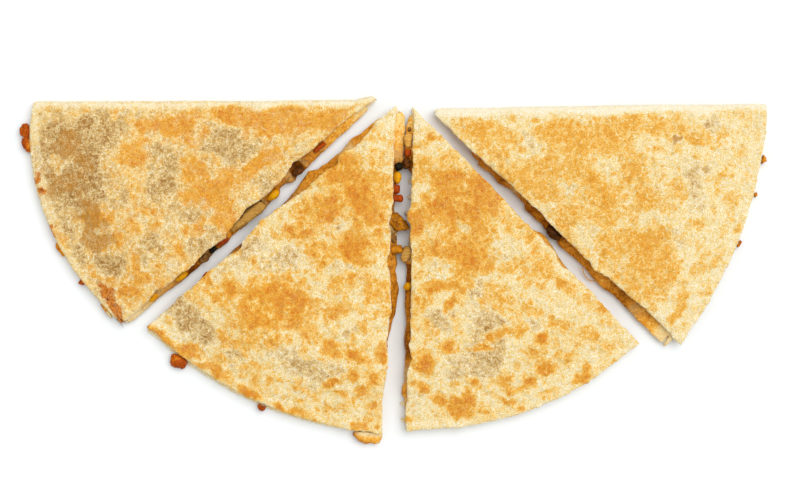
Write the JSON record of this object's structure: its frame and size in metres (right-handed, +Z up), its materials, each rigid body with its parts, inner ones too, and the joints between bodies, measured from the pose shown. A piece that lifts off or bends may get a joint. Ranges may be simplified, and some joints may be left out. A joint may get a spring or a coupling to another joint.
{
  "type": "quesadilla",
  "caption": "Toasted flour tortilla folded over melted cheese with vegetables and meat, cut from the middle of its fold into wedges that lie close together as a half disc.",
  "frame": {"origin": "middle of the whole quesadilla's box, on the surface that it lies on", "axes": "+X along the folded edge, +Y from the round rim towards the fold, +Z up, out of the toasted top"},
  "size_m": [0.3418, 0.1568, 0.0117],
  "materials": {
    "tortilla": "toasted flour dough, matt, mottled gold on pale cream",
    "cheese": "melted cheese, soft gloss, browned where it ran out",
    "red_pepper": "cooked red pepper, glossy",
    "meat": "browned minced meat",
    "corn": "cooked kernel, glossy yellow",
    "chicken": "cooked pale chicken",
    "olive": "dark olive",
    "mushroom": "cooked mushroom, grey brown",
    "yellow_pepper": "roasted yellow and orange pepper, glossy",
    "bean": "dark cooked bean"
  },
  "bodies": {
    "root": {"tortilla_left": "tortilla", "tortilla_right": "tortilla", "top_sheet_mid_left": "tortilla", "bottom_sheet_mid_left": "tortilla", "top_sheet_mid_right": "tortilla", "bottom_sheet_mid_right": "tortilla", "filling_left": "cheese", "filling_mid_left": "cheese", "filling_mid_right": "cheese", "filling_right": "cheese", "red_pepper_left_1": "red_pepper", "meat_left": "meat", "corn_left_1": "corn", "chicken_left": "chicken", "red_pepper_left_2": "red_pepper", "olive_left": "olive", "mushroom_left": "mushroom", "corn_left_2": "corn", "corn_left_3": "corn", "olive_mid_left": "olive", "corn_mid_left": "corn", "red_pepper_mid_left_1": "red_pepper", "red_pepper_mid_left_2": "red_pepper", "yellow_pepper_mid_left": "yellow_pepper", "mushroom_mid_left": "mushroom", "orange_pepper_mid_left": "yellow_pepper", "red_pepper_mid_left_3": "red_pepper", "mushroom_mid_right": "mushroom", "chicken_mid_right_1": "chicken", "red_pepper_mid_right": "red_pepper", "meat_mid_right": "meat", "chicken_mid_right_2": "chicken", "corn_mid_right": "corn", "bean_right": "bean"}
  },
  "joints": []
}
